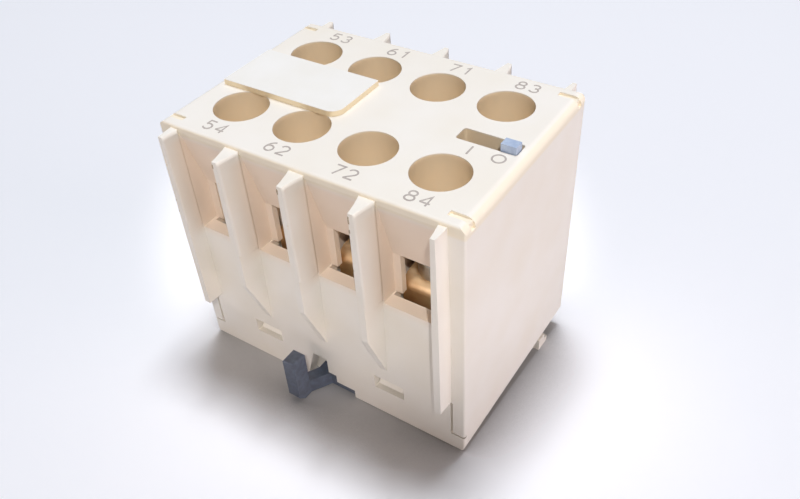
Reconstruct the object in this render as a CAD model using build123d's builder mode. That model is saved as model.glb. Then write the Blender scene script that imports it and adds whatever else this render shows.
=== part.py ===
from build123d import *
import os

os.makedirs("parts", exist_ok=True)

# Auxiliary contact block for a small contactor: two normally open and two normally closed
# contacts in one moulded housing. Millimetres. +Z is the face with the screwdriver holes,
# X runs along the four columns, and -Y is the side with the release latch.
# The origin is the middle of the rear face, which clips on to the contactor.

# Housing body
block_width = 45.0
wall_depth = 31.3
block_height = 39.4
end_wall = 1.3
side_wall = 1.9
top_plate = 2.0
end_edge_radius = 1.2
side_edge_radius = 0.4
corner_radius = 0.3

# Columns and rows of terminals
bore_radius = 3.7
tube_wall = 1.0
tube_foot_z = 29.6

# Wire entries between the fins
ledge_z = 23.0
ledge_depth = 2.55
entry_height = 6.4
entry_inset = 1.7
panel_wall = 0.9
rim_height = 1.0
rim_setback = 0.05
ledge_thickness = 1.5
ledge_gap_inset = 0.8

# Fins
pillar_width = 2.2
fin_reach = 3.25
fin_drop = 0.5
fin_knee_z = 18.5
fin_foot_z = 9.8
fin_root_foot = 1.1
fin_root_middle = 2.0
fin_root_top = 1.0
fin_tip_foot = 0.8
fin_tip_middle = 1.0
fin_tip_top = 0.65
end_fin_inset = 2.6
end_fin_reach = 2.45
end_fin_root = 1.4
end_fin_root_top = 0.9
end_fin_tip = 0.95
end_fin_tip_top = 0.6
fin_sink = 0.5

# Inner walls between the poles
partition = 1.0
partition_foot_gap = 0.1

# Snap windows and catches
window_offset = 0.65
window_width = 4.8
window_z = 5.2
window_height = 2.4
catch_clearance = 0.2
catch_arm = 1.1
catch_reach = 1.4

# Rear hooks on the end walls, at the far side
hook_inset = 6.05
hook_width = 1.8
hook_reach = 2.2
hook_barb = 1.0

# Marks at the corners
corner_slit_inset = 1.75
corner_slit_length = 3.0
corner_slit_width = 0.9
corner_slit_depth = 0.35
leg_slit_inset = 1.95
leg_slit_width = 0.35
leg_slit_z = 3.1
leg_slit_top_z = 9.5
leg_slit_depth = 0.6
leg_slit_foot = 2.0

# Indicator window in the front face
slot_inset = 1.4
slot_length = 8.2
slot_near_y = -1.2
slot_far_y = 1.3
slot_corner = 0.4

# Stepped notch for the latch, on the near wall
notch_foot_x = -4.2
notch_left_x = -2.6
notch_tall_x = -0.1
notch_middle_x = 1.25
notch_right_x = 4.4
notch_tall = 5.9
notch_middle = 3.15
notch_low = 1.75

# Base plate
base_thickness = 3.2
base_clearance = 0.2
base_corner = 0.5
post_width = 5.2
post_near_gap = 0.55
post_far_gap = 0.15
post_bore_radius = 2.1
post_bore_depth = 7.0
rail_depth = 4.2
finger_gap = 0.35

# Release latch
latch_recess = 1.9
latch_thickness = 1.3
latch_foot_z = 0.35
latch_left_x = -2.1
latch_right_x = 4.1
latch_front_inset = 0.35
latch_length = 7.7
latch_clearance = 0.3
latch_rib_right_x = 0.0
latch_rib_height = 1.1
latch_travel = 2.0
tab_width = 2.0
tab_depth = 2.5
tab_left_x = -3.75
tab_reach = 5.0
tab_top_z = 8.6
tab_chamfer = 1.1
tab_edge = 0.25

# Latch spring, held in a window of the latch against a peg of the base
latch_window_x = 2.3
latch_window_width = 2.0
latch_window_inset = 2.7
latch_window_length = 4.0
latch_peg_depth = 0.7
latch_peg_gap = 0.1
latch_spring_radius = 0.6
latch_wire = 0.24
latch_turns = 5

# Marker plate
marker_inset = 1.6
marker_right_x = -2.1
marker_overhang = 0.35
marker_thickness = 0.8
marker_corner = 1.8
marker_key_inset = 1.6
marker_key = 0.7
marker_clearance = 0.1

# Contact carrier
carrier_end_gap = 0.3
carrier_depth = 4.4
carrier_foot_z = 8.2
carrier_height = 7.6
carrier_running = 0.08
carrier_rib = 1.4
finger_offset = 3.0
finger_length = 4.0
finger_depth = 3.0
finger_foot_z = 0.6
flag_width = 2.05
flag_depth = 1.45
flag_clearance = 0.12
flag_proud = 1.0
stem_depth = 3.2
stem_height = 7.4

# Contacts
strip = 1.0
tongue_inset = 1.0
tongue_gap = 0.25
tongue_lip = 2.6
tongue_top_z = 22.9
leg_width = 2.0
leg_foot_z = 10.2
leg_step_z = 14.4
tab_inset = 1.5
tab_strip = 0.8
tab_gap = 0.55
tab_length = 1.4
button_radius = 0.9
button_height = 0.3
button_inset = 0.5
gap_beyond_plane = 0.2
contact_play = 0.03
bridge_strip = 0.8
bridge_height = 2.2
bridge_overhang = 1.0
overtravel = 0.8
spring_seat = 2.37

# Screws and clamps
screw_radius = 1.75
screw_length = 5.6
head_radius = 3.1
head_height = 2.6
head_slot = 0.9
head_slot_depth = 1.3
screw_chamfer = 0.4
thread_clearance = 0.05
clamp_strip = 0.8
clamp_height = 1.9
clamp_hole_clearance = 0.2

# Springs
contact_spring_radius = 1.15
contact_wire = 0.36
return_spring_radius = 1.7
return_wire = 0.45
return_turns = 6
contact_turns = 3
spring_clearance = 0.05
spigot_radius = 1.1
spigot_length = 1.6

# Places along X, from the width
column_pitch = block_width / 4.5
columns = [(index - 1.5) * column_pitch for index in range(4)]
open_columns = (0, 3)
cell_width = column_pitch - partition
entry_width = cell_width - 2 * entry_inset
ledge_gap = cell_width - 2 * ledge_gap_inset
tongue_width = cell_width - 2 * tongue_inset
clamp_width = tongue_width
tab_plane = cell_width / 2 - tab_inset
contact_gap = tab_plane + gap_beyond_plane
carrier_travel = contact_gap + overtravel
inner_x = block_width / 2 - end_wall
window_x = column_pitch + window_offset
end_fin_offset = block_width / 2 - end_fin_inset
leg_slit_x = block_width / 2 - leg_slit_inset
slot_right_x = block_width / 2 - slot_inset
slot_left_x = slot_right_x - slot_length
marker_left_x = -block_width / 2 + marker_inset
carrier_left_x = -inner_x + carrier_travel + carrier_end_gap
finger_x = column_pitch - finger_offset

# Places along Y, from the depth and outwards from the carrier
near_wall_y = -wall_depth / 2
inner_y = wall_depth / 2 - side_wall
panel_foot_y = wall_depth / 2 - ledge_depth
upper_inner_y = panel_foot_y - panel_wall
tab_near = carrier_depth / 2 + tab_gap
tongue_near = tab_near + tab_length
tongue_far = upper_inner_y - tongue_gap
row_offset = (tongue_near + tongue_far) / 2
clamp_length = tongue_far - tongue_near
button_y = tongue_near - button_inset
bridge_half_length = button_y + bridge_overhang
post_near = tongue_near + strip + post_near_gap
post_far = tongue_far - strip - post_far_gap
marker_depth = 2 * (row_offset - bore_radius + marker_overhang)
corner_slit_y = wall_depth / 2 - corner_slit_inset
hook_far_y = wall_depth / 2 - hook_inset
hook_near_y = hook_far_y - hook_width
latch_front_y = near_wall_y + latch_front_inset
latch_inner_y = latch_front_y + latch_length
latch_window_outer_y = latch_front_y + latch_window_inset
latch_window_inner_y = latch_window_outer_y + latch_window_length
tab_front_y = near_wall_y - tab_reach

# Places along Z
entry_top_z = ledge_z + entry_height
roof_z = block_height - top_plate
fin_top_z = block_height - fin_drop
carrier_top_z = carrier_foot_z + carrier_height
contact_z = carrier_foot_z + carrier_height / 2
base_x = inner_x - base_clearance
base_y = inner_y - base_clearance
clamp_top_z = tongue_top_z + clamp_height
spring_axis_z = carrier_top_z + stem_height / 2
flag_right_x = slot_right_x - flag_clearance
flag_left_x = flag_right_x - flag_width


def bay_spans():
    """X spans of the wire bays, from one pillar to the next."""
    edges = [-end_fin_offset + end_fin_root / 2]
    for x in (-column_pitch, 0.0, column_pitch):
        edges += [x - pillar_width / 2, x + pillar_width / 2]
    edges.append(end_fin_offset - end_fin_root / 2)
    return [(edges[2 * i], edges[2 * i + 1]) for i in range(4)]


# Housing: one moulding with fins, wire bays, screwdriver tubes and inner walls
with BuildPart() as housing:
    with BuildSketch(Plane.XY):
        RectangleRounded(block_width, wall_depth, corner_radius)
    extrude(amount=block_height)
    with BuildSketch(Plane.XZ) as end_profile:
        with Locations((0, block_height / 2)):
            Rectangle(block_width, block_height)
        fillet(end_profile.vertices().group_by(Axis.Z)[-1], end_edge_radius)
    extrude(amount=wall_depth / 2, both=True, mode=Mode.INTERSECT)
    with BuildSketch(Plane.YZ) as side_profile:
        with Locations((0, block_height / 2)):
            Rectangle(wall_depth, block_height)
        fillet(side_profile.vertices().group_by(Axis.Z)[-1], side_edge_radius)
    extrude(amount=block_width / 2, both=True, mode=Mode.INTERSECT)

    # Hollow from the rear: wide below the ledge, narrower behind the sloping panels
    with BuildSketch(Plane.XY):
        Rectangle(2 * inner_x, 2 * inner_y)
    extrude(amount=ledge_z - ledge_thickness, mode=Mode.SUBTRACT)
    with BuildSketch(Plane.XY.offset(ledge_z - ledge_thickness)):
        Rectangle(2 * inner_x, 2 * upper_inner_y)
    extrude(amount=roof_z - ledge_z + ledge_thickness, mode=Mode.SUBTRACT)

    # Bays with a sloping panel over each wire entry, near side and far side
    for low_x, high_x in bay_spans():
        for side in (-1, 1):
            with BuildSketch(Plane.YZ.offset(low_x)):
                with BuildLine():
                    Polyline(
                        (side * (wall_depth / 2 + side_wall), ledge_z),
                        (side * panel_foot_y, ledge_z),
                        (side * panel_foot_y, entry_top_z),
                        (side * (wall_depth / 2 - rim_setback), block_height - rim_height),
                        (side * (wall_depth / 2 + side_wall), block_height - rim_height),
                        close=True,
                    )
                make_face()
            extrude(amount=high_x - low_x, mode=Mode.SUBTRACT)
    with BuildSketch(Plane.XZ):
        with Locations(*[(x, ledge_z + entry_height / 2) for x in columns]):
            Rectangle(entry_width, entry_height)
    extrude(amount=panel_foot_y + 1, both=True, mode=Mode.SUBTRACT)
    with BuildSketch(Plane.XY.offset(ledge_z)):
        with GridLocations(column_pitch, upper_inner_y + inner_y, 4, 2):
            Rectangle(ledge_gap, inner_y - upper_inner_y)
    extrude(amount=-ledge_thickness, mode=Mode.SUBTRACT)

    # Tubes for the screwdriver, from the front face down to the screw heads
    with BuildSketch(Plane.XY.offset(tube_foot_z)):
        with GridLocations(column_pitch, 2 * row_offset, 4, 2):
            Circle(bore_radius + tube_wall)
    extrude(amount=roof_z - tube_foot_z)

    # Walls between the poles, open below where the carrier slides
    with BuildSketch(Plane.XY.offset(base_thickness + partition_foot_gap)):
        with GridLocations(column_pitch, 1, 3, 1):
            Rectangle(partition, 2 * inner_y)
    extrude(amount=ledge_z - base_thickness - partition_foot_gap)
    with BuildSketch(Plane.XY.offset(ledge_z)):
        with GridLocations(column_pitch, 1, 3, 1):
            Rectangle(partition, 2 * upper_inner_y)
    extrude(amount=roof_z - ledge_z)
    with BuildSketch(Plane.YZ):
        with Locations((0, carrier_top_z / 2)):
            Rectangle(carrier_depth + 2 * carrier_running, carrier_top_z + 2 * carrier_running)
    extrude(amount=inner_x, both=True, mode=Mode.SUBTRACT)
    # Room for the base's catches beside those walls
    catch_room = inner_y - base_y + catch_arm + catch_clearance
    for side in (-1, 1):
        with BuildSketch(Plane.XZ.offset(-side * inner_y)):
            with Locations(*[(s * window_x, (window_z + window_height) / 2) for s in (-1, 1)]):
                Rectangle(window_width, window_z + window_height)
        extrude(amount=side * catch_room, mode=Mode.SUBTRACT)

    # Screwdriver bores
    with BuildSketch(Plane.XY.offset(tube_foot_z - 1)):
        with GridLocations(column_pitch, 2 * row_offset, 4, 2):
            Circle(bore_radius)
    extrude(amount=block_height, mode=Mode.SUBTRACT)

    # Blade fins between the columns, thickest at the ledge and drafted to both ends
    fin_sections = (
        (fin_foot_z, fin_root_foot, fin_tip_foot),
        (ledge_z, fin_root_middle, fin_tip_middle),
        (fin_top_z, fin_root_top, fin_tip_top),
    )
    for x in (-column_pitch, 0.0, column_pitch):
        for side in (-1, 1):
            wall_y, tip_y = side * wall_depth / 2, side * (wall_depth / 2 + fin_reach)
            for z, root, tip in fin_sections:
                with BuildSketch(Plane.XY.offset(z)):
                    with BuildLine():
                        Polyline(
                            (x - root / 2, wall_y - side * fin_sink),
                            (x - root / 2, wall_y),
                            (x - tip / 2, tip_y),
                            (x + tip / 2, tip_y),
                            (x + root / 2, wall_y),
                            (x + root / 2, wall_y - side * fin_sink),
                            close=True,
                        )
                    make_face()
            loft(ruled=True)
    # Their feet slope back to the wall
    for side in (-1, 1):
        with BuildSketch(Plane.YZ.offset(-block_width / 2)):
            with BuildLine():
                Polyline(
                    (side * wall_depth / 2, fin_foot_z),
                    (side * (wall_depth / 2 + fin_reach), fin_knee_z),
                    (side * (wall_depth / 2 + fin_reach + 1), fin_knee_z),
                    (side * (wall_depth / 2 + fin_reach + 1), fin_foot_z - 1),
                    (side * wall_depth / 2, fin_foot_z - 1),
                    close=True,
                )
            make_face()
        extrude(amount=block_width, mode=Mode.SUBTRACT)

    # End fins, shorter and cut square at the foot
    end_fin_sections = (
        (fin_foot_z, end_fin_root, end_fin_tip),
        (ledge_z, end_fin_root, end_fin_tip),
        (fin_top_z, end_fin_root_top, end_fin_tip_top),
    )
    for x in (-end_fin_offset, end_fin_offset):
        for side in (-1, 1):
            wall_y, tip_y = side * wall_depth / 2, side * (wall_depth / 2 + end_fin_reach)
            for z, root, tip in end_fin_sections:
                with BuildSketch(Plane.XY.offset(z)):
                    with BuildLine():
                        Polyline(
                            (x - root / 2, wall_y - side * fin_sink),
                            (x - tip / 2, tip_y),
                            (x + tip / 2, tip_y),
                            (x + root / 2, wall_y - side * fin_sink),
                            close=True,
                        )
                    make_face()
            loft(ruled=True)

    # Indicator window
    with BuildSketch(Plane.XY.offset(roof_z)):
        with Locations(((slot_left_x + slot_right_x) / 2, (slot_near_y + slot_far_y) / 2)):
            RectangleRounded(slot_right_x - slot_left_x, slot_far_y - slot_near_y, slot_corner)
    extrude(amount=top_plate, mode=Mode.SUBTRACT)

    # Seat of the marker plate
    with BuildSketch(Plane.XY.offset(block_height)):
        with Locations(((marker_left_x + marker_right_x) / 2, 0)):
            Rectangle(
                marker_right_x - marker_left_x - 2 * marker_key_inset,
                marker_depth - 2 * marker_key_inset,
            )
    extrude(amount=-marker_key - marker_clearance, mode=Mode.SUBTRACT)

    # Slits beside the four corners, on the front face and down the end edge
    with BuildSketch(Plane.XY.offset(block_height)):
        with GridLocations(block_width - corner_slit_length, 2 * corner_slit_y, 2, 2):
            Rectangle(corner_slit_length, corner_slit_width)
    extrude(amount=-corner_slit_depth, mode=Mode.SUBTRACT)
    with BuildSketch(Plane.XY.offset(block_height)):
        with GridLocations(block_width, 2 * corner_slit_y, 2, 2):
            Rectangle(2 * corner_slit_depth, corner_slit_width)
    extrude(amount=-end_edge_radius, mode=Mode.SUBTRACT)

    # Slits round the legs of the end walls
    for side in (-1, 1):
        with BuildSketch(Plane.XZ.offset(-side * (wall_depth / 2 - leg_slit_depth))):
            with Locations(*[(s * leg_slit_x, (leg_slit_z + leg_slit_top_z) / 2) for s in (-1, 1)]):
                Rectangle(leg_slit_width, leg_slit_top_z - leg_slit_z)
            with Locations(*[(s * (leg_slit_x + leg_slit_foot / 2), leg_slit_z) for s in (-1, 1)]):
                Rectangle(leg_slit_foot + leg_slit_width, leg_slit_width)
        extrude(amount=-side * leg_slit_depth, mode=Mode.SUBTRACT)

    # Hooks that reach behind the rear face at the far side
    for low_x in (-block_width / 2, inner_x):
        with BuildSketch(Plane.YZ.offset(low_x)):
            with BuildLine():
                Polyline(
                    (hook_near_y, 0),
                    (hook_near_y, -hook_reach),
                    (hook_far_y + hook_barb, -hook_reach),
                    (hook_far_y + hook_barb, -hook_reach + hook_barb),
                    (hook_far_y, -hook_reach + hook_barb),
                    (hook_far_y, 0),
                    close=True,
                )
            make_face()
        extrude(amount=end_wall)

    # Snap windows near the rear, and the stepped notch for the latch
    for side in (-1, 1):
        with BuildSketch(Plane.XZ.offset(-side * inner_y)):
            with Locations(*[(s * window_x, window_z + window_height / 2) for s in (-1, 1)]):
                Rectangle(window_width, window_height)
        extrude(amount=-side * side_wall, mode=Mode.SUBTRACT)
    with BuildSketch(Plane.XZ.offset(inner_y)):
        with BuildLine():
            Polyline(
                (notch_foot_x, 0),
                (notch_left_x, notch_tall),
                (notch_tall_x, notch_tall),
                (notch_tall_x, notch_middle),
                (notch_middle_x, notch_middle),
                (notch_middle_x, notch_low),
                (notch_right_x, notch_low),
                (notch_right_x, 0),
                close=True,
            )
        make_face()
    extrude(amount=side_wall, mode=Mode.SUBTRACT)
housing.part.label = "housing"

# Base plate: closes the rear, carries the terminals on posts and snaps into the windows
with BuildPart() as base:
    with BuildSketch(Plane.XY):
        Rectangle(2 * base_x, 2 * base_y)
    extrude(amount=base_thickness)
    chamfer(base.edges().filter_by(Axis.Z), base_corner)
    with BuildSketch(Plane.XY.offset(base_thickness)):
        with GridLocations(column_pitch, post_near + post_far, 4, 2):
            Rectangle(post_width, post_far - post_near)
    extrude(amount=tongue_top_z - strip - base_thickness)
    with BuildSketch(Plane.XY.offset(tongue_top_z - strip)):
        with GridLocations(column_pitch, 2 * row_offset, 4, 2):
            Circle(post_bore_radius)
    extrude(amount=-post_bore_depth, mode=Mode.SUBTRACT)
    with BuildSketch(Plane.XY.offset(base_thickness)):
        with GridLocations(2 * column_pitch, 1, 2, 1):
            Rectangle(partition, rail_depth)
    extrude(amount=carrier_foot_z - base_thickness - carrier_running)
    for side in (-1, 1):
        for x in (-window_x, window_x):
            catch_width = window_width - 2 * catch_clearance
            with BuildSketch(Plane.YZ.offset(x - catch_width / 2)):
                with BuildLine():
                    Polyline(
                        (side * (base_y - catch_arm), base_thickness),
                        (side * base_y, base_thickness),
                        (side * base_y, window_z + catch_clearance),
                        (side * (base_y + catch_reach), window_z + catch_clearance),
                        (side * base_y, window_z + window_height - catch_clearance),
                        (side * (base_y - catch_arm), window_z + window_height - catch_clearance),
                        close=True,
                    )
                make_face()
            extrude(amount=catch_width)
    # Way through for the carrier's finger
    with BuildSketch(Plane.XY):
        with Locations((finger_x - carrier_travel / 2, 0)):
            Rectangle(finger_length + carrier_travel + 2 * finger_gap, finger_depth + 2 * finger_gap)
    extrude(amount=base_thickness, mode=Mode.SUBTRACT)
    # Recess for the latch, with the peg that its spring pushes on
    recess_low = Vector(latch_left_x - latch_clearance, -base_y)
    recess_high = Vector(latch_right_x + latch_clearance, latch_inner_y + latch_clearance)
    with BuildSketch(Plane.XY):
        with Locations((recess_low + recess_high) / 2):
            Rectangle(recess_high.X - recess_low.X, recess_high.Y - recess_low.Y)
    extrude(amount=latch_recess, mode=Mode.SUBTRACT)
    with BuildSketch(Plane.XY.offset(latch_foot_z)):
        with Locations((latch_window_x, latch_window_outer_y + latch_peg_gap + latch_peg_depth / 2)):
            Rectangle(latch_window_width - 2 * latch_clearance, latch_peg_depth)
    extrude(amount=latch_recess - latch_foot_z)
base.part.label = "base"

# Release latch: slides out along Y and ends in an upright thumb tab outside the near wall
tab_right_x = tab_left_x + tab_width
tab_rear_y = tab_front_y + tab_depth
with BuildPart() as release_latch:
    with BuildSketch(Plane.XY.offset(latch_foot_z)):
        with BuildLine():
            Polyline(
                (tab_left_x, tab_front_y),
                (tab_right_x, tab_front_y),
                (tab_right_x, tab_rear_y),
                (latch_rib_right_x, latch_front_y),
                (latch_right_x, latch_front_y),
                (latch_right_x, latch_inner_y),
                (latch_left_x, latch_inner_y),
                (latch_left_x, latch_front_y),
                (tab_left_x, tab_rear_y),
                close=True,
            )
        make_face()
    extrude(amount=latch_thickness)
    with BuildSketch(Plane.XY.offset(latch_foot_z + latch_thickness)):
        with BuildLine():
            Polyline(
                (tab_left_x, tab_front_y),
                (tab_right_x, tab_front_y),
                (tab_right_x, tab_rear_y),
                (latch_rib_right_x, latch_front_y),
                (latch_rib_right_x + latch_rib_height, latch_front_y),
                (latch_rib_right_x + latch_rib_height, -base_y - latch_clearance),
                (latch_left_x, -base_y - latch_clearance),
                (latch_left_x, latch_front_y),
                (tab_left_x, tab_rear_y),
                close=True,
            )
        make_face()
    extrude(amount=latch_rib_height)
    with BuildSketch(Plane.XY.offset(latch_foot_z)):
        with Locations((tab_left_x + tab_width / 2, tab_front_y + tab_depth / 2)):
            Rectangle(tab_width, tab_depth)
    extrude(amount=tab_top_z - latch_foot_z)
    tab_front = release_latch.faces().sort_by(Axis.Y)[0]
    chamfer(tab_front.edges().sort_by(Axis.Z)[0], tab_chamfer)
    fillet(release_latch.faces().sort_by(Axis.Z)[-1].edges(), tab_edge)
    with BuildSketch(Plane.XY):
        with Locations((latch_window_x, latch_window_outer_y + latch_window_length / 2)):
            Rectangle(latch_window_width, latch_window_length)
    extrude(amount=latch_recess, mode=Mode.SUBTRACT)
release_latch.part.label = "release_latch"

# Marker plate on the front face, with a key underneath that drops into its seat
with BuildPart() as marker_plate:
    with BuildSketch(Plane.XY.offset(block_height)):
        with Locations(((marker_left_x + marker_right_x) / 2, 0)):
            Rectangle(marker_right_x - marker_left_x, marker_depth)
    extrude(amount=marker_thickness)
    near_right = marker_plate.edges().filter_by(Axis.Z).group_by(Axis.X)[-1].sort_by(Axis.Y)[0]
    fillet(near_right, marker_corner)
    with BuildSketch(Plane.XY.offset(block_height - marker_key)):
        with Locations(((marker_left_x + marker_right_x) / 2, 0)):
            Rectangle(
                marker_right_x - marker_left_x - 2 * marker_key_inset - 2 * marker_clearance,
                marker_depth - 2 * marker_key_inset - 2 * marker_clearance,
            )
    extrude(amount=marker_key)
marker_plate.part.label = "marker_plate"


def carrier_window(index):
    """X span of the carrier's window for one pole."""
    x = columns[index]
    if index in open_columns:
        low = x - tab_plane + 2 * button_height + contact_gap
        return low, low + bridge_strip + spring_seat
    high = x + tab_plane - 2 * button_height + overtravel
    return high - overtravel - bridge_strip - spring_seat, high


# Contact carrier: slides along X, with a window for each bridge, a finger and the flag
with BuildPart() as contact_carrier:
    with BuildSketch(Plane.XY.offset(carrier_foot_z)):
        with Locations(((carrier_left_x + flag_right_x) / 2, 0)):
            Rectangle(flag_right_x - carrier_left_x, carrier_depth)
    extrude(amount=carrier_height)
    for index in range(4):
        low_x, high_x = carrier_window(index)
        with BuildSketch(Plane.XZ):
            with Locations(((low_x + high_x) / 2, carrier_foot_z + carrier_height / 2)):
                Rectangle(high_x - low_x, carrier_height - 2 * carrier_rib)
        extrude(amount=carrier_depth / 2, both=True, mode=Mode.SUBTRACT)
    with BuildSketch(Plane.XY.offset(finger_foot_z)):
        with Locations((finger_x, 0)):
            Rectangle(finger_length, finger_depth)
    extrude(amount=carrier_foot_z - finger_foot_z)
    with BuildSketch(Plane.XY.offset(carrier_top_z)):
        with Locations(((flag_left_x + flag_right_x) / 2, 0)):
            Rectangle(flag_right_x - flag_left_x, stem_depth)
    extrude(amount=stem_height)
    with BuildSketch(Plane.XY.offset(carrier_top_z)):
        with Locations((flag_left_x + flag_width / 2, slot_near_y + flag_clearance + flag_depth / 2)):
            Rectangle(flag_width, flag_depth)
    extrude(amount=block_height + flag_proud - carrier_top_z)
    with BuildSketch(Plane.YZ.offset(flag_left_x)):
        with Locations((0, spring_axis_z)):
            Circle(spigot_radius)
    extrude(amount=-spigot_length)
contact_carrier.part.label = "contact_carrier"


def terminal(index, side):
    """Folded strip: tongue under the clamp, leg down the cell, upright contact tab with a button."""
    x = columns[index]
    hand = -1 if index in open_columns else 1
    outer_x = x + hand * (tab_plane + tab_strip)
    with BuildPart() as piece:
        with BuildSketch(Plane.XY.offset(tongue_top_z - strip)):
            with Locations((x, side * (tongue_near + tongue_far) / 2)):
                Rectangle(tongue_width, tongue_far - tongue_near)
            with Locations((x, side * row_offset)):
                Circle(screw_radius + thread_clearance, mode=Mode.SUBTRACT)
        extrude(amount=strip)
        with BuildSketch(Plane.XY.offset(tongue_top_z - strip)):
            with Locations((x, side * (tongue_far - strip / 2))):
                Rectangle(tongue_width, strip)
        extrude(amount=strip - tongue_lip)
        fold = piece.edges().filter_by(Axis.X).group_by(Axis.Z)[-1].sort_by(Axis.Y)[-1 if side < 0 else 0]
        fillet(fold, strip * 0.8)
        with BuildSketch(Plane.XZ.offset(-side * tongue_near)):
            with Locations((outer_x - hand * leg_width / 2, (leg_step_z + tongue_top_z - strip) / 2)):
                Rectangle(leg_width, tongue_top_z - strip - leg_step_z)
            with Locations((outer_x - hand * tab_strip / 2, (leg_foot_z + leg_step_z) / 2)):
                Rectangle(tab_strip, leg_step_z - leg_foot_z)
        extrude(amount=-side * strip)
        with BuildSketch(Plane.YZ.offset(outer_x)):
            with Locations((side * (tab_near + tongue_near) / 2, (leg_foot_z + leg_step_z) / 2)):
                Rectangle(tongue_near - tab_near, leg_step_z - leg_foot_z)
        extrude(amount=-hand * tab_strip)
        with BuildSketch(Plane.YZ.offset(outer_x - hand * tab_strip)):
            with Locations((side * button_y, contact_z)):
                Circle(button_radius)
        extrude(amount=-hand * button_height)
    return piece.part


def bridge(index):
    """Contact bridge across the carrier, with a button at each end."""
    low_x, high_x = carrier_window(index)
    if index in open_columns:
        plate_x, hand = low_x + contact_play, -1
    else:
        plate_x, hand = high_x - overtravel - bridge_strip - contact_play, 1
    button_x = plate_x if hand < 0 else plate_x + bridge_strip
    with BuildPart() as piece:
        with BuildSketch(Plane.YZ.offset(plate_x)):
            with Locations((0, contact_z)):
                SlotOverall(2 * bridge_half_length, bridge_height)
        extrude(amount=bridge_strip)
        with BuildSketch(Plane.YZ.offset(button_x)):
            with Locations((-button_y, contact_z), (button_y, contact_z)):
                Circle(button_radius)
        extrude(amount=hand * button_height)
    return piece.part


def coil(start, end, radius, wire, turns):
    """Compression spring from one point to another, with its wire's centre line on a helix."""
    span = Vector(end) - Vector(start)
    along = span.normalized()
    gap = wire / 2 + spring_clearance
    length = span.length - 2 * gap
    with BuildPart() as piece:
        with BuildLine() as path:
            Helix(length / turns, length, radius, center=Vector(start) + along * gap, direction=along)
        with BuildSketch(Plane(origin=path.line @ 0, z_dir=path.line % 0)):
            RegularPolygon(wire / 2, 6)
        sweep(is_frenet=True)
    return piece.part


def export(shape, name):
    """Labels one finished piece and writes its file."""
    shape.label = name
    export_step(shape, f"parts/{name}.step")


export_step(housing.part, "parts/housing.step")
export_step(base.part, "parts/base.step")
export_step(release_latch.part, "parts/release_latch.step")
export_step(marker_plate.part, "parts/marker_plate.step")
export_step(contact_carrier.part, "parts/contact_carrier.step")
for index in range(4):
    export(terminal(index, -1), f"near_terminal_{index + 1}")
    export(terminal(index, 1), f"far_terminal_{index + 1}")
    export(bridge(index), f"contact_bridge_{index + 1}")
    low_x, high_x = carrier_window(index)
    if index in open_columns:
        low_x = low_x + contact_play + bridge_strip
    else:
        high_x = high_x - overtravel - bridge_strip - contact_play
    ends = (low_x, 0, contact_z), (high_x, 0, contact_z)
    spring = coil(*ends, contact_spring_radius, contact_wire, contact_turns)
    export(spring, f"contact_spring_{index + 1}")
return_ends = (column_pitch + partition / 2, 0, spring_axis_z), (flag_left_x, 0, spring_axis_z)
export(coil(*return_ends, return_spring_radius, return_wire, return_turns), "return_spring")
latch_spring_z = latch_foot_z + latch_thickness / 2
latch_spring_y = latch_window_outer_y + latch_peg_gap + latch_peg_depth
latch_ends = (
    (latch_window_x, latch_spring_y, latch_spring_z),
    (latch_window_x, latch_window_inner_y, latch_spring_z),
)
export(coil(*latch_ends, latch_spring_radius, latch_wire, latch_turns), "latch_spring")

# Wire clamps: bent plates that the screws press down on the wires
with BuildPart() as wire_clamps:
    with BuildSketch(Plane.YZ) as clamp_profile:
        with BuildLine():
            outer_left = (-clamp_length / 2, 0)
            crown_left = (-clamp_length / 2 + clamp_height, clamp_height)
            crown_right = (clamp_length / 2 - clamp_height, clamp_height)
            outer_right = (clamp_length / 2, 0)
            inner_radius = clamp_height - clamp_strip
            RadiusArc(outer_left, crown_left, clamp_height)
            Line(crown_left, crown_right)
            RadiusArc(crown_right, outer_right, clamp_height)
            Line(outer_right, (clamp_length / 2 - clamp_strip, 0))
            RadiusArc(
                (clamp_length / 2 - clamp_strip, 0),
                (clamp_length / 2 - clamp_height, inner_radius),
                -inner_radius,
            )
            Line(
                (clamp_length / 2 - clamp_height, inner_radius),
                (-clamp_length / 2 + clamp_height, inner_radius),
            )
            RadiusArc(
                (-clamp_length / 2 + clamp_height, inner_radius),
                (-clamp_length / 2 + clamp_strip, 0),
                -inner_radius,
            )
            Line((-clamp_length / 2 + clamp_strip, 0), outer_left)
        make_face()
    extrude(amount=clamp_width / 2, both=True)
    with BuildSketch(Plane.XY):
        Circle(screw_radius + clamp_hole_clearance)
    extrude(amount=clamp_height, mode=Mode.SUBTRACT)
clamp_places = [(x, s * row_offset, tongue_top_z) for s in (-1, 1) for x in columns]
clamps = Compound(children=[wire_clamps.part.moved(Location(place)) for place in clamp_places])
export(clamps, "wire_clamps")

# Terminal screws: slotted round head over a plain shank
with BuildPart() as terminal_screw:
    with BuildSketch(Plane.XY.offset(clamp_height - screw_length)):
        Circle(screw_radius)
    extrude(amount=screw_length)
    chamfer(terminal_screw.edges().sort_by(Axis.Z)[0], screw_chamfer)
    with BuildSketch(Plane.XY.offset(clamp_height)):
        Circle(head_radius)
    extrude(amount=head_height)
    chamfer(terminal_screw.edges().sort_by(Axis.Z)[-1], screw_chamfer)
    with BuildSketch(Plane.XY.offset(clamp_height + head_height)):
        Rectangle(2 * head_radius, head_slot)
        Rectangle(head_slot, head_radius * 1.3)
    extrude(amount=-head_slot_depth, mode=Mode.SUBTRACT)
screws = Compound(children=[terminal_screw.part.moved(Location(place)) for place in clamp_places])
export(screws, "terminal_screws")
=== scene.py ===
import math
import bpy
import numpy as np
from mathutils import Matrix


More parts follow.
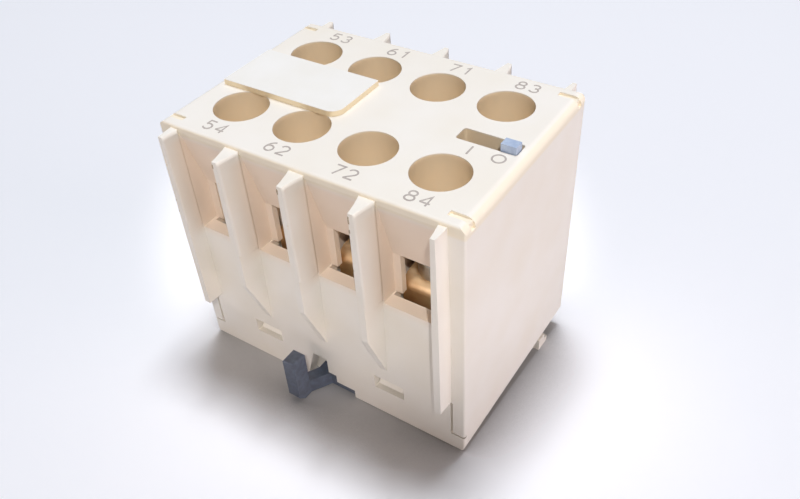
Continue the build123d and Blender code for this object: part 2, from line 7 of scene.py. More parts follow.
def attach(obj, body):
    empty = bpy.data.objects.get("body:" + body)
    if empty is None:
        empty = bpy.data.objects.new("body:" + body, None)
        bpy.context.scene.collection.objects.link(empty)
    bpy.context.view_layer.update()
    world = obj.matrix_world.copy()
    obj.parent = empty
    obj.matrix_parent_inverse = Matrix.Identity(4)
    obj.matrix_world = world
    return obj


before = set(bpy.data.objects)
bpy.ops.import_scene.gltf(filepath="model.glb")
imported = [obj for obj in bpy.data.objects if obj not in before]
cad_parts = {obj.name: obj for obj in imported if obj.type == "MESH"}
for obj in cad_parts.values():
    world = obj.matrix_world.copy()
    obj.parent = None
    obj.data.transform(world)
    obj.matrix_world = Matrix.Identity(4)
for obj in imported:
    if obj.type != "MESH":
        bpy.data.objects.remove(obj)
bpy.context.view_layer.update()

print("frame loaded:", len(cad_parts), "nodes")

mm = 0.001
topZ = 39.4 * mm       # front face of the housing
markerZ = 40.2 * mm    # face of the marker plate


def hexToLinear(code):
    # sRGB hex to the linear colour that the shader takes
    parts = [int(code[i:i + 2], 16) / 255 for i in (1, 3, 5)]
    return [c / 12.92 if c <= 0.04045 else ((c + 0.055) / 1.055) ** 2.4 for c in parts] + [1.0]


def addNode(tree, kind, links=(), stops=(), **settings):
    # one node: links are (node or socket, input) pairs, stops the two (place, hex) pairs of a colour ramp,
    # in_NAME sets an input, with a hex colour made linear, and anything else is set on the node itself
    node = tree.nodes.new(kind)
    for key, value in settings.items():
        if key.startswith("in_"):
            name = key[3:]
            value = hexToLinear(value) if isinstance(value, str) else value
            node.inputs[int(name) if name.isdigit() else name.replace("_", " ")].default_value = value
        else:
            setattr(node, key, value)
    for source, name in links:
        tree.links.new(source.outputs[0] if hasattr(source, "outputs") else source, node.inputs[name])
    if stops:
        for element, (place, code) in zip(node.color_ramp.elements, stops):
            element.position = place
            element.color = hexToLinear(code)
    return node


def newMaterial(name, roughness=None, ior=None):
    # material with its tree, its shader and the object's own coordinates
    material = bpy.data.materials.new(name)
    material.use_nodes = True
    tree = material.node_tree
    shader = tree.nodes["Principled BSDF"]
    if roughness is not None:
        shader.inputs["Roughness"].default_value = roughness
    if ior is not None:
        shader.inputs["IOR"].default_value = ior
    coords = addNode(tree, "ShaderNodeTexCoord")
    return material, tree, shader, coords.outputs["Object"]


def meshPiece(name, points, faces, material, body):
    # a finished piece at the origin, riding on a body
    mesh = bpy.data.meshes.new(name)
    mesh.from_pydata(np.asarray(points).tolist(), [], [list(map(int, f)) for f in faces])
    mesh.update()
    piece = bpy.data.objects.new(name, mesh)
    bpy.context.scene.collection.objects.link(piece)
    mesh.materials.append(material)
    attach(piece, body)
    return piece


ivorySettings = {
    "light": "#f6f1e8",      # clean moulded face
    "deep": "#f2ebde",       # thicker, yellower places
    "rim": "#f5ebd6",        # painted glow: cream edge and grooves, standing in for light that passes through the thin plastic
    "bore": "#feebcc",       # painted light: warm and bright inside the screwdriver holes and the slot, standing in for light from the walls
    "bay": "#f4e2cf",        # painted light: warm between the fins, standing in for light bounced from one fin to the next
    "pitch": 10.0 * mm, "row": 8.05 * mm,    # grid of the screwdriver holes
    # borders of the tints: along x, y or z, or from the nearest hole's axis, the mm with none and with all
    "borders": {
        "rows": ("x", 21.2, 21.0), "face": ("z", 39.36, 39.16), "rimLow": ("z", 37.5, 38.1),
        "rimIn": ("y", 15.77, 15.69), "hole": ("hole", 3.82, 3.74), "slot": ("y", 1.8, 1.7),
        "bayIn": ("y", 18.4, 14.65), "bayEnd": ("x", 20.2, 20.0), "bayLow": ("z", 21.4, 24.0),
        "bayTop": ("z", 38.5, 36.9),
    },
    # each painted-light tint is held within all of its borders
    "tints": {"rim": ("face", "rimLow", "rimIn"), "bay": ("bayIn", "bayEnd", "bayLow", "bayTop"),
              "bore": ("opening", "rows", "face")},
    "grain": 0.09 * mm,      # spark-eroded mould texture
    "cloud": 9.0 * mm,       # slow colour drift of the moulding
    "rough": (0.36, 0.50), "ior": 1.53, "bump": 0.12, "bumpDepth": 0.02 * mm,
}


def ivoryPolyamide(settings):
    # filled polyamide, injection moulded: satin, slightly yellow, a faint fine grain on each face, with
    # painted light on its rims, in its holes and between its fins
    material, tree, shader, coords = newMaterial("ivoryPolyamideMoulded", ior=settings["ior"])
    cloud = addNode(tree, "ShaderNodeTexNoise", links=[(coords, "Vector")],
                    in_Scale=1 / settings["cloud"], in_Detail=2.0)
    colour = addNode(tree, "ShaderNodeValToRGB", links=[(cloud, 0)],
                     stops=[(0.3, settings["light"]), (0.72, settings["deep"])])
    x, y, z = addNode(tree, "ShaderNodeSeparateXYZ", links=[(coords, "Vector")]).outputs
    sideX = addNode(tree, "ShaderNodeMath", links=[(x, 0)], operation="ABSOLUTE")
    sideY = addNode(tree, "ShaderNodeMath", links=[(y, 0)], operation="ABSOLUTE")
    # distance to the nearest hole's axis: x folded by the pitch and y by its sign, then the length of the two
    half = settings["pitch"] / 2
    folded = addNode(tree, "ShaderNodeMath", links=[(x, 0)], operation="PINGPONG", in_1=half)
    offX = addNode(tree, "ShaderNodeMath", links=[(folded, 1)], operation="SUBTRACT", in_0=half)
    offY = addNode(tree, "ShaderNodeMath", links=[(sideY, 0)], operation="SUBTRACT", in_1=settings["row"])
    offset = addNode(tree, "ShaderNodeCombineXYZ", links=[(offX, 0), (offY, 1)])
    reach = addNode(tree, "ShaderNodeVectorMath", links=[(offset, 0)], operation="LENGTH").outputs["Value"]
    measures = {"x": sideX, "y": sideY, "z": z, "hole": reach}
    masks = {}
    for name, (measure, none, full) in settings["borders"].items():
        masks[name] = addNode(tree, "ShaderNodeMapRange", links=[(measures[measure], "Value")],
                              interpolation_type="SMOOTHSTEP", in_From_Min=none * mm, in_From_Max=full * mm)
    masks["opening"] = addNode(tree, "ShaderNodeMath", links=[(masks["hole"], 0), (masks["slot"], 1)],
                               operation="MAXIMUM")
    # painted light: the rim, bore and bay tints lighten and warm these places in place of light through and
    # between the plastic walls
    for tint, (first, *others) in settings["tints"].items():
        mask = masks[first]
        for name in others:
            mask = addNode(tree, "ShaderNodeMath", links=[(mask, 0), (masks[name], 1)], operation="MULTIPLY")
        colour = addNode(tree, "ShaderNodeMix", links=[(mask, 0), (colour, 6)], data_type="RGBA",
                         in_7=settings[tint]).outputs[2]
    tree.links.new(colour, shader.inputs["Base Color"])
    grain = addNode(tree, "ShaderNodeTexNoise", links=[(coords, "Vector")],
                    in_Scale=1 / settings["grain"], in_Detail=3.0)
    handled = addNode(tree, "ShaderNodeMapRange", links=[(cloud, "Value")],
                      in_To_Min=settings["rough"][0], in_To_Max=settings["rough"][1])
    tree.links.new(handled.outputs[0], shader.inputs["Roughness"])
    bump = addNode(tree, "ShaderNodeBump", links=[(grain, "Height")],
                   in_Strength=settings["bump"], in_Distance=settings["bumpDepth"])
    tree.links.new(bump.outputs[0], shader.inputs["Normal"])
    return material


markerSettings = {"light": "#f6f4ef", "deep": "#f2efe7", "edge": "#ecdcb8", "edgeFade": (0.02 * mm, 0.12 * mm),
                  "cloud": 6.0 * mm, "wear": 0.6 * mm, "rough": (0.29, 0.46), "ior": 1.58}


def markerPolycarbonate(settings):
    # white polycarbonate, moulded in a polished tool: smoother and whiter than the housing
    material, tree, shader, coords = newMaterial("whitePolycarbonateMarker", ior=settings["ior"])
    cloud = addNode(tree, "ShaderNodeTexNoise", links=[(coords, "Vector")],
                    in_Scale=1 / settings["cloud"], in_Detail=2.0)
    base = addNode(tree, "ShaderNodeValToRGB", links=[(cloud, 0)],
                   stops=[(0.3, settings["light"]), (0.7, settings["deep"])])
    place = addNode(tree, "ShaderNodeSeparateXYZ", links=[(coords, "Vector")])
    # the cut edge is yellower than the face: the tint fades in just under the plate's face
    none, full = (markerZ - depth for depth in settings["edgeFade"])
    side = addNode(tree, "ShaderNodeMapRange", links=[(place.outputs[2], "Value")],
                   interpolation_type="SMOOTHSTEP", in_From_Min=none, in_From_Max=full)
    edged = addNode(tree, "ShaderNodeMix", links=[(side, 0), (base, 6)], data_type="RGBA",
                    in_7=settings["edge"])
    tree.links.new(edged.outputs[2], shader.inputs["Base Color"])
    wear = addNode(tree, "ShaderNodeTexNoise", links=[(coords, "Vector")],
                   in_Scale=1 / settings["wear"], in_Detail=4.0)
    rough = addNode(tree, "ShaderNodeMapRange", links=[(wear, "Value")],
                    in_To_Min=settings["rough"][0], in_To_Max=settings["rough"][1])
    tree.links.new(rough.outputs[0], shader.inputs["Roughness"])
    return material


latchSettings = {"light": "#5e6879", "deep": "#525968", "grain": 0.12 * mm, "roughness": 0.42}
carrierSettings = {"light": "#bac9de", "deep": "#a1b3cf", "grain": 0.10 * mm, "roughness": 0.4}
blueSettings = {"mottle": 0.8 * mm, "ior": 1.53, "bump": 0.2, "bumpDepth": 0.02 * mm}


def bluePolyamide(name, settings, shared):
    # coloured polyamide, injection moulded: satin, with glass fibre just showing as a fine mottle
    material, tree, shader, coords = newMaterial(name, settings["roughness"], shared["ior"])
    mottle = addNode(tree, "ShaderNodeTexNoise", links=[(coords, "Vector")],
                     in_Scale=1 / shared["mottle"], in_Detail=5.0)
    base = addNode(tree, "ShaderNodeValToRGB", links=[(mottle, 0)],
                   stops=[(0.35, settings["deep"]), (0.68, settings["light"])])
    tree.links.new(base.outputs[0], shader.inputs["Base Color"])
    grain = addNode(tree, "ShaderNodeTexNoise", links=[(coords, "Vector")],
                    in_Scale=1 / settings["grain"], in_Detail=3.0)
    bump = addNode(tree, "ShaderNodeBump", links=[(grain, "Height")],
                   in_Strength=shared["bump"], in_Distance=shared["bumpDepth"])
    tree.links.new(bump.outputs[0], shader.inputs["Normal"])
    return material


# streak is the spacing of the rolling or drawing marks, and along is the axis that they follow
brassSettings = {"light": "#ecd0a6", "deep": "#d9b184", "rough": (0.34, 0.54),
                 "streak": 0.15 * mm, "along": "Y"}
screwSettings = {"light": "#c9c7c0", "deep": "#a9a69e", "rough": (0.24, 0.44),
                 "streak": 0.12 * mm, "along": "Z"}
springSettings = {"light": "#9a9a9a", "deep": "#77777a", "rough": (0.22, 0.42),
                  "streak": 0.08 * mm, "along": "X"}
metalSettings = {"stretch": 0.06, "patch": 2.5 * mm, "bump": 0.25, "bumpDepth": 0.01 * mm}


def rolledMetal(name, settings, shared):
    # bare rolled or drawn metal: fine streaks along the rolling direction, slightly tarnished in patches
    material, tree, shader, coords = newMaterial(name)
    stretch = addNode(tree, "ShaderNodeMapping", links=[(coords, "Vector")],
                      in_Scale=[shared["stretch"] if axis == settings["along"] else 1.0 for axis in "XYZ"])
    streak = addNode(tree, "ShaderNodeTexNoise", links=[(stretch, "Vector")],
                     in_Scale=1 / settings["streak"], in_Detail=4.0)
    patch = addNode(tree, "ShaderNodeTexNoise", links=[(coords, "Vector")],
                    in_Scale=1 / shared["patch"], in_Detail=2.0)
    base = addNode(tree, "ShaderNodeValToRGB", links=[(patch, 0)],
                   stops=[(0.35, settings["light"]), (0.7, settings["deep"])])
    tree.links.new(base.outputs[0], shader.inputs["Base Color"])
    rough = addNode(tree, "ShaderNodeMapRange", links=[(streak, "Value")],
                    in_To_Min=settings["rough"][0], in_To_Max=settings["rough"][1])
    tree.links.new(rough.outputs[0], shader.inputs["Roughness"])
    bump = addNode(tree, "ShaderNodeBump", links=[(streak, "Height")],
                   in_Strength=shared["bump"], in_Distance=shared["bumpDepth"])
    tree.links.new(bump.outputs[0], shader.inputs["Normal"])
    shader.inputs["Metallic"].default_value = 1.0
    return material


def unevenCoat(name, light, deep, spread, size, detail, roughness):
    # matt, patchy surface: two tones mixed by noise of the given patch size
    material, tree, shader, coords = newMaterial(name, roughness)
    patches = addNode(tree, "ShaderNodeTexNoise", links=[(coords, "Vector")],
                      in_Scale=1 / size, in_Detail=detail)
    base = addNode(tree, "ShaderNodeValToRGB", links=[(patches, 0)],
                   stops=[(spread[0], light), (spread[1], deep)])
    tree.links.new(base.outputs[0], shader.inputs["Base Color"])
    return material


ivory = ivoryPolyamide(ivorySettings)
marker = markerPolycarbonate(markerSettings)
slateBlue = bluePolyamide("slateBluePolyamideMoulded", latchSettings, blueSettings)
steelBlue = bluePolyamide("steelBluePolyamideMoulded", carrierSettings, blueSettings)
brass = rolledMetal("stampedBrassBare", brassSettings, metalSettings)
zincSteel = rolledMetal("zincPlatedScrewSteel", screwSettings, metalSettings)
springSteel = rolledMetal("drawnSpringSteel", springSettings, metalSettings)

finishes = {
    "housing": ivory, "base": ivory, "marker_plate": marker, "release_latch": slateBlue,
    "contact_carrier": steelBlue, "wire_clamps": brass, "terminal_screws": zincSteel,
}
for name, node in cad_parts.items():
    finish = finishes.get(name, springSteel if "spring" in name else brass)
    node.data.materials.clear()
    node.data.materials.append(finish)
print("materials on the CAD nodes")


blendSettings = {
    # all in mm, apart from hollow: how far the curve's middle is pulled towards the corner
    "wallY": 15.65, "lowZ": 23.0, "topZ": 38.89, "hollow": 0.25, "sink": 0.06, "overlap": 0.1,
    "start": 0.04, "grow": 0.05, "short": 0.01, "rows": 25, "steps": 9,
    # places along X with the sides that get a blend; half widths at the ledge and at the top
    "middle": {"fins": [(-10.0, -1), (-10.0, 1), (0.0, -1), (0.0, 1), (10.0, -1), (10.0, 1)],
               "edge": 1.1, "root": (1.0, 0.5), "tip": (0.5, 0.325), "reach": 3.25, "lead": 0.0},
    "end": {"fins": [(-19.9, 1), (19.9, -1)],
            "edge": 0.7, "root": (0.7, 0.45), "tip": (0.475, 0.3), "reach": 2.45, "lead": 0.5},
}


def finBlends(kind, settings):
    # moulding blends from the bays' edges to the sides of the fins, on both long sides
    # section: quadratic curve from the edge of the bay to the fin's tip, its middle pulled towards the corner,
    # closed by a line just inside the fin: half width + (tip - root) * (run + lead) / (reach + lead)
    fin = settings[kind]
    rows, steps = settings["rows"], settings["steps"]
    z = np.linspace(settings["lowZ"], settings["topZ"], rows)[:, None]
    up = (z - z[0]) / (z[-1] - z[0])
    root = fin["root"][0] + (fin["root"][1] - fin["root"][0]) * up
    tip = fin["tip"][0] + (fin["tip"][1] - fin["tip"][0]) * up
    reach, lead = fin["reach"], fin["lead"]
    atWall = root + (tip - root) * lead / (reach + lead)
    edge = np.minimum(fin["edge"], atWall[0] + settings["grow"] * (z - z[0]))
    hollow = settings["hollow"]
    middleX = (edge + tip) / 2 * (1 - hollow) + atWall * hollow
    middleY = reach / 2 * (1 - hollow)
    t = np.linspace(0, 1, steps)[None, :]
    outX = (1 - t) ** 2 * edge + 2 * t * (1 - t) * middleX + t ** 2 * tip
    outY = 2 * t * (1 - t) * middleY + t ** 2 * (reach - settings["short"]) + 0 * z
    # at the ledge the curve starts inside the fin and comes out of it within a millimetre
    outX = outX - settings["start"] * np.clip(1 - (z - z[0]), 0, 1)
    inY = outY[:, ::-1] - settings["sink"]
    inX = root + (tip - root) * (inY + lead) / (reach + lead) - settings["overlap"]
    sectionX = np.hstack([outX, inX])
    sectionY = np.hstack([outY, inY])
    count = 2 * steps
    points, faces = [], []
    for finX, sideX in fin["fins"]:
        for sideY in (-1, 1):
            start = len(points) * rows * count
            points.append(np.stack([finX + sideX * sectionX, sideY * (settings["wallY"] + sectionY),
                                    np.broadcast_to(z, sectionX.shape)], 2).reshape(-1, 3))
            i, j = np.meshgrid(np.arange(rows - 1), np.arange(count), indexing="ij")
            here = i * count + j
            beside = i * count + (j + 1) % count
            quads = np.stack([here, beside, beside + count, here + count], 2).reshape(-1, 4)
            ends = [list(range(count))[::-1], [(rows - 1) * count + k for k in range(count)]]
            block = quads.tolist() + ends
            if sideX * sideY < 0:
                block = [face[::-1] for face in block]
            faces += [[v + start for v in face] for face in block]
    piece = meshPiece(kind + "_fin_blends", np.vstack(points) * mm, faces, ivory, "frame")
    # only the curve itself is shaded smooth
    curved = np.array(([True] * (steps - 1) + [False] * (count - steps + 1)) * (rows - 1) + [False, False])
    piece.data.polygons.foreach_set("use_smooth", np.tile(curved, len(points)))


for blendKind in ("middle", "end"):
    finBlends(blendKind, blendSettings)
print("fin blends")


scuffSettings = {
    "rings": 9, "around": 14, "pole": 0.12, "ripple": 0.22,
    "grime": 0.22 * mm, "roughness": 0.75,
    "darkTones": ("#c6b49c", "#98876f"), "paleTones": ("#fbf3e6", "#ece0cf"),
    # place on a fin's tip and half sizes, all in mm
    "dark": [((9.69, -18.86, 37.9), (0.13, 0.11, 0.60)), ((9.67, -18.87, 36.3), (0.10, 0.09, 0.30)),
             ((-0.31, -18.87, 38.1), (0.13, 0.10, 0.42)), ((-10.31, -18.87, 38.2), (0.12, 0.10, 0.32)),
             ((-20.26, -18.07, 28.9), (0.07, 0.06, 0.24)), ((-20.28, -18.07, 27.0), (0.06, 0.05, 0.34)),
             ((9.62, -18.87, 30.4), (0.05, 0.05, 0.30))],
    # paler spots on the fins' tips, lighter than the moulded face
    "pale": [((-20.02, -18.07, 35.0), (0.26, 0.07, 0.62)), ((0.30, -18.86, 33.1), (0.10, 0.07, 0.55)),
             ((-9.98, -18.88, 35.6), (0.16, 0.05, 0.40))],
}


def finScuffs(name, materialName, tone, settings):
    # small worn or paler spots half sunk in the fins' tips: ellipsoids whose radius is 1 + ripple sin(3 a +
    # number) cos(4 b + number), closed at the poles by flat faces
    rings, around = settings["rings"], settings["around"]
    b = np.linspace(settings["pole"], math.pi - settings["pole"], rings)[:, None]
    a = np.linspace(0, 2 * math.pi, around, endpoint=False)[None, :]
    i, j = np.meshgrid(np.arange(rings - 1), np.arange(around), indexing="ij")
    quads = np.stack([i * around + j, (i + 1) * around + j, (i + 1) * around + (j + 1) % around,
                      i * around + (j + 1) % around], 2).reshape(-1, 4)
    points, faces = [], []
    for k, (place, half) in enumerate(settings[tone]):
        reach = 1 + settings["ripple"] * np.sin(3 * a + k) * np.cos(4 * b + k)
        ball = np.stack([reach * np.sin(b) * np.cos(a), reach * np.sin(b) * np.sin(a),
                         reach * np.cos(b) * np.ones_like(a)], 2).reshape(-1, 3)
        start = k * rings * around
        points.append(ball * half + place)
        faces += (quads + start).tolist()
        faces.append([start + v for v in range(around)])
        faces.append([start + (rings - 1) * around + v for v in range(around)][::-1])
    # ivory polyamide in small spots: darker where chipped through handling with grime worked into it, paler in
    # the others; rough
    worn = unevenCoat(materialName, *settings[tone + "Tones"], (0.35, 0.65), settings["grime"], 4.0,
                      settings["roughness"])
    piece = meshPiece(name, np.vstack(points) * mm, faces, worn, "frame")
    piece.data.shade_smooth()


finScuffs("fin_nicks", "ivoryPolyamideNicked", "dark", scuffSettings)
finScuffs("fin_pale_spots", "ivoryPolyamidePaleSpots", "pale", scuffSettings)
print("wear on the fins")


printSettings = {
    "height": 1.8 * mm, "width": 1.3 * mm, "pitch": 1.95 * mm, "stroke": 0.24 * mm,
    "thickness": 0.02 * mm, "lift": 0.004 * mm,
    "nearY": -13.4 * mm, "farY": 13.5 * mm,
    "nearNumbers": ["54", "62", "72", "84"],
    "farNumbers": ["53", "61", "71", "83"],
    "columns": [-15.0 * mm, -5.0 * mm, 5.0 * mm, 15.0 * mm],
    "shift": 0.4 * mm,       # numbers stand a little right of their holes
    # sign, centre, height and width
    "marks": {"on_mark": ("I", (15.75 * mm, -2.7 * mm), 1.75 * mm, 1.0 * mm),
              "off_mark": ("O", (19.54 * mm, -2.65 * mm), 1.6 * mm, 1.6 * mm)},
    "light": "#aaa099", "deep": "#c2b9b1", "speckle": 0.35 * mm, "roughness": 0.6,
    "mitre": 0.45,           # least cosine that a corner is widened by
}


def arcPoints(centre, radii, start, stop, count=13):
    # ellipse arc: centre + radii * (cos a, sin a) for a from start to stop degrees
    angle = np.radians(np.linspace(start, stop, count))
    return np.stack([centre[0] + radii[0] * np.cos(angle), centre[1] + radii[1] * np.sin(angle)], 1)


def digitStrokes(digit):
    # strokes of a plain sign in a box one wide and one high
    line = np.array
    strokes = {
        "1": [line([(0.28, 0.8), (0.6, 1.0), (0.6, 0.0)])],
        "2": [np.vstack([arcPoints((0.5, 0.71), (0.44, 0.29), 165, -35), [(0.04, 0.0)]]),
              line([(0.04, 0.0), (0.96, 0.0)])],
        "3": [arcPoints((0.48, 0.74), (0.4, 0.26), 150, -90),
              arcPoints((0.48, 0.27), (0.46, 0.27), 90, -155)],
        "4": [line([(0.74, 0.0), (0.74, 1.0), (0.02, 0.28)]), line([(0.02, 0.28), (1.0, 0.28)])],
        "5": [line([(0.9, 1.0), (0.16, 1.0), (0.1, 0.56)]),
              arcPoints((0.46, 0.32), (0.47, 0.32), 140, -150)],
        "6": [arcPoints((0.5, 0.3), (0.45, 0.3), 0, 360, 21),
              arcPoints((0.98, 0.3), (0.93, 0.72), 180, 105)],
        "7": [line([(0.04, 1.0), (0.96, 1.0), (0.36, 0.0)])],
        "8": [arcPoints((0.5, 0.76), (0.38, 0.24), 0, 360, 19),
              arcPoints((0.5, 0.27), (0.46, 0.27), 0, 360, 21)],
        "I": [line([(0.5, 0.0), (0.5, 1.0)])],
        "O": [arcPoints((0.5, 0.5), (0.5, 0.5), 0, 360, 29)],
    }
    return strokes[digit]


def ribbonMesh(path, width, base, thickness):
    # flat ribbon along a path: each point moved by half the width along the mean normal of its two runs,
    # over the cosine between them, then a copy of the outline lifted by the thickness; open ends are flat
    steps = np.diff(path, axis=0)
    lengths = np.linalg.norm(steps, axis=1, keepdims=True)
    unit = steps / lengths
    closed = np.allclose(path[0], path[-1])
    before = np.vstack([unit[-1:] if closed else unit[:1], unit])
    after = np.vstack([unit, unit[:1] if closed else unit[-1:]])
    mean = before + after
    mean /= np.linalg.norm(mean, axis=1, keepdims=True)
    normal = np.stack([-mean[:, 1], mean[:, 0]], 1)
    spread = np.clip(np.sum(before * mean, axis=1), printSettings["mitre"], 1)[:, None]
    left = path + normal * width / 2 / spread
    right = path - normal * width / 2 / spread
    count = len(path)
    low = np.vstack([left, right])
    points = np.vstack([np.column_stack([low, np.full(len(low), base)]),
                        np.column_stack([low, np.full(len(low), base + thickness)])])
    i = np.arange(count - 1)
    lift = 2 * count
    top = np.stack([i + lift, i + count + lift, i + 1 + count + lift, i + 1 + lift], 1)
    under = np.stack([i, i + 1, i + 1 + count, i + count], 1)
    sideLeft = np.stack([i, i + lift, i + 1 + lift, i + 1], 1)
    sideRight = np.stack([i + count, i + 1 + count, i + 1 + count + lift, i + count + lift], 1)
    faces = np.vstack([top, under, sideLeft, sideRight])
    caps = [] if closed else [[0, count, count + lift, lift],
                              [count - 1, count - 1 + lift, 2 * count - 1 + lift, 2 * count - 1]]
    return points, faces.tolist() + caps


# pad-printed grey-brown ink: matt, slightly uneven where the pad lifted
ink = unevenCoat("greyBrownPrintedInk", printSettings["light"], printSettings["deep"], (0.3, 0.7),
                 printSettings["speckle"], 3.0, printSettings["roughness"])


def printText(name, text, centre, height, width, pitch=0.0):
    # signs side by side about a centre point on the front face
    points, faces = [], []
    for k, digit in enumerate(text):
        offset = (k - (len(text) - 1) / 2) * pitch
        for layer, stroke in enumerate(digitStrokes(digit)):
            path = np.column_stack([(stroke[:, 0] - 0.5) * width + offset + centre[0],
                                    (stroke[:, 1] - 0.5) * height + centre[1]])
            # each stroke a little higher than the one it crosses
            base = topZ + printSettings["lift"] * (1 + layer)
            strokePoints, strokeFaces = ribbonMesh(path, printSettings["stroke"], base,
                                                   printSettings["thickness"])
            start = sum(len(p) for p in points)
            points.append(strokePoints)
            faces += [[int(v) + start for v in face] for face in strokeFaces]
    meshPiece(name, np.vstack(points), faces, ink, "frame")


for index, x in enumerate(printSettings["columns"]):
    for row, y in (("near", printSettings["nearY"]), ("far", printSettings["farY"])):
        text = printSettings[row + "Numbers"][index]
        printText(f"{row}_number_{index + 1}", text, (x + printSettings["shift"], y),
                  printSettings["height"], printSettings["width"], printSettings["pitch"])
for markName, mark in printSettings["marks"].items():
    printText(markName, *mark)
print("printed marks")


floorSettings = {
    "frontY": -15.65 * mm, "frontZ": 0.0, "rearY": 10.6 * mm, "rearZ": -2.2 * mm,
    "half": 0.9, "drop": 0.05 * mm,
    "shade": "#f7f5f5",      # the sheet's own colour, which lights the block
    "lift": 1.45,            # how much brighter the camera sees it in the open
    "contact": 0.58,         # painted shadow: how much darker the camera sees it close to the block
    "open": (0.5, 0.9), "reach": 20 * mm,    # openness between the two, and how far it looks
}


def floorPlane(settings):
    # flat sheet through the near rear edge and the tips of the hooks, so that the block lies on both
    front = np.array([0.0, settings["frontY"], settings["frontZ"]])
    along = np.array([0.0, settings["rearY"], settings["rearZ"]]) - front
    along /= np.linalg.norm(along)
    up = np.array([0.0, -along[2], along[1]])
    origin = front - up * settings["drop"]
    half = settings["half"]
    corners = [origin + sx * half * np.array([1.0, 0, 0]) + sy * half * along
               for sx, sy in ((-1, -1), (1, -1), (1, 1), (-1, 1))]
    mesh = bpy.data.meshes.new("floor")
    mesh.from_pydata([c.tolist() for c in corners], [], [(0, 1, 2, 3)])
    floor = bpy.data.objects.new("floor", mesh)
    bpy.context.scene.collection.objects.link(floor)
    # matt sheet: for the camera its colour is lifted to white in the open and darkened near the block as a
    # painted shadow, and for all other rays it stays as it is
    material = bpy.data.materials.new("paleMattSheetPaintedShadow")
    material.use_nodes = True
    tree = material.node_tree
    tree.nodes.clear()
    path = addNode(tree, "ShaderNodeLightPath")
    # painted shadow: ambient occlusion near the block sets how far the camera colour is darkened there
    openness = addNode(tree, "ShaderNodeAmbientOcclusion", samples=16, in_Distance=settings["reach"])
    liftAndPaintedShadow = addNode(tree, "ShaderNodeMapRange", links=[(openness.outputs["AO"], "Value")],
                   in_From_Min=settings["open"][0], in_From_Max=settings["open"][1],
                   in_To_Min=settings["contact"], in_To_Max=settings["lift"])
    lifted = addNode(tree, "ShaderNodeVectorMath", links=[(liftAndPaintedShadow, "Scale")], operation="SCALE",
                     in_0=hexToLinear(settings["shade"])[:3])
    shown = addNode(tree, "ShaderNodeMix", links=[(path.outputs["Is Camera Ray"], 0), (lifted, 7)],
                    data_type="RGBA", in_6=settings["shade"])
    matt = addNode(tree, "ShaderNodeBsdfDiffuse", links=[(shown.outputs[2], "Color")])
    addNode(tree, "ShaderNodeOutputMaterial", links=[(matt, "Surface")])
    mesh.materials.append(material)


floorPlane(floorSettings)

lightSettings = {
    "aimZ": 0.036,
    "key": {"place": (-0.05, 0.22, 0.92), "size": (0.30, 0.20), "power": 5.55, "colour": "#eff5ff"},
    "side": {"place": (0.57, 0.02, 0.05), "size": (0.40, 0.08), "power": 1.30, "colour": "#ffeef1"},
    "front": {"place": (-0.22, -0.50, 0.05), "size": (0.40, 0.08), "power": 0.69, "colour": "#ffeae3"},
    "spot": {"place": (0.25, -0.30, 0.45), "radius": 0.006, "angle": 8.0, "blend": 0.45, "power": 6.0,
             "colour": "#fff9f5"},
    "world": 0.07, "worldColour": "#f2f3fa",    # what lights the block
    "backdrop": "#f9f9fd",                      # what the camera sees past the floor
}


def placeLamp(name, lamp, place, power, colour):
    # lamp that looks at the middle of the block
    lamp.energy = power
    lamp.color = hexToLinear(colour)[:3]
    holder = bpy.data.objects.new(name, lamp)
    bpy.context.scene.collection.objects.link(holder)
    back = np.array(place) - np.array([0, 0, lightSettings["aimZ"]])
    back /= np.linalg.norm(back)
    right = np.cross([0, 0, 1], back)
    right /= np.linalg.norm(right)
    turn = Matrix(np.column_stack([right, np.cross(back, right), back]).tolist()).to_4x4()
    holder.matrix_world = Matrix.Translation(place) @ turn


def areaLight(name, place, size, power, colour):
    lamp = bpy.data.lights.new(name, "AREA")
    lamp.shape = "RECTANGLE"
    lamp.size, lamp.size_y = size
    placeLamp(name, lamp, place, power, colour)


def spotLight(name, place, radius, angle, blend, power, colour):
    # narrow spot on the front face, so that light reaches down the bores and the floor keeps its shadow
    lamp = bpy.data.lights.new(name, "SPOT")
    lamp.spot_size = math.radians(angle)
    lamp.spot_blend = blend
    lamp.shadow_soft_size = radius
    placeLamp(name, lamp, place, power, colour)


for lampName in ("key", "side", "front"):
    areaLight(lampName + "Lamp", **lightSettings[lampName])
spotLight("spotLamp", **lightSettings["spot"])

world = bpy.data.worlds.new("studio")
bpy.context.scene.world = world
world.use_nodes = True
worldTree = world.node_tree
worldTree.nodes.clear()
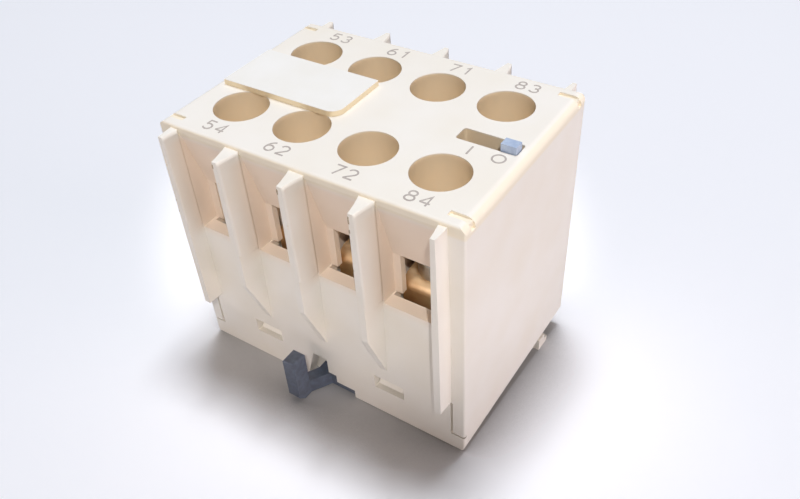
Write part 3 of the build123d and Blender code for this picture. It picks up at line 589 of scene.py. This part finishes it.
# a faint even light, and the pale backdrop for rays from the camera, from gloss and through clear pieces
even = addNode(worldTree, "ShaderNodeBackground", in_Color=lightSettings["worldColour"],
               in_Strength=lightSettings["world"])
backdrop = addNode(worldTree, "ShaderNodeBackground", in_Color=lightSettings["backdrop"], in_Strength=1.0)
worldPath = addNode(worldTree, "ShaderNodeLightPath")
seen = addNode(worldTree, "ShaderNodeMath", operation="MAXIMUM",
               links=[(worldPath.outputs["Is Camera Ray"], 0), (worldPath.outputs["Is Glossy Ray"], 1)])
seenToo = addNode(worldTree, "ShaderNodeMath", operation="MAXIMUM",
                  links=[(seen, 0), (worldPath.outputs["Is Transmission Ray"], 1)])
split = addNode(worldTree, "ShaderNodeMixShader", links=[(seenToo, 0), (even, 1), (backdrop, 2)])
addNode(worldTree, "ShaderNodeOutputWorld", links=[(split, "Surface")])

cameraSettings = {
    "place": (53.22 * mm, -70.84 * mm, 92.42 * mm),
    "azimuth": 35.375, "elevation": 41.23, "roll": -3.809,
    "focalPixels": 795.85, "imageWidth": 800, "sensor": 36.0, "clip": 5 * mm,
}


def photoCamera(settings):
    # camera turned by azimuth and elevation round the block, then rolled about its own line of sight
    azimuth, elevation, roll = (math.radians(settings[k]) for k in ("azimuth", "elevation", "roll"))
    back = np.array([math.sin(azimuth) * math.cos(elevation), -math.cos(azimuth) * math.cos(elevation),
                     math.sin(elevation)])
    right = np.array([math.cos(azimuth), math.sin(azimuth), 0.0])
    up = np.cross(back, right)
    rolledRight = math.cos(roll) * right + math.sin(roll) * up
    rolledUp = -math.sin(roll) * right + math.cos(roll) * up
    data = bpy.data.cameras.new("photoCamera")
    data.sensor_fit = "HORIZONTAL"
    data.sensor_width = settings["sensor"]
    data.lens = settings["focalPixels"] * settings["sensor"] / settings["imageWidth"]
    data.clip_start = settings["clip"]
    camera = bpy.data.objects.new("photoCamera", data)
    bpy.context.scene.collection.objects.link(camera)
    turn = Matrix(np.column_stack([rolledRight, rolledUp, back]).tolist()).to_4x4()
    camera.matrix_world = Matrix.Translation(settings["place"]) @ turn
    bpy.context.scene.camera = camera


photoCamera(cameraSettings)
bpy.context.scene.view_settings.view_transform = "Standard"
print("floor, light and camera")
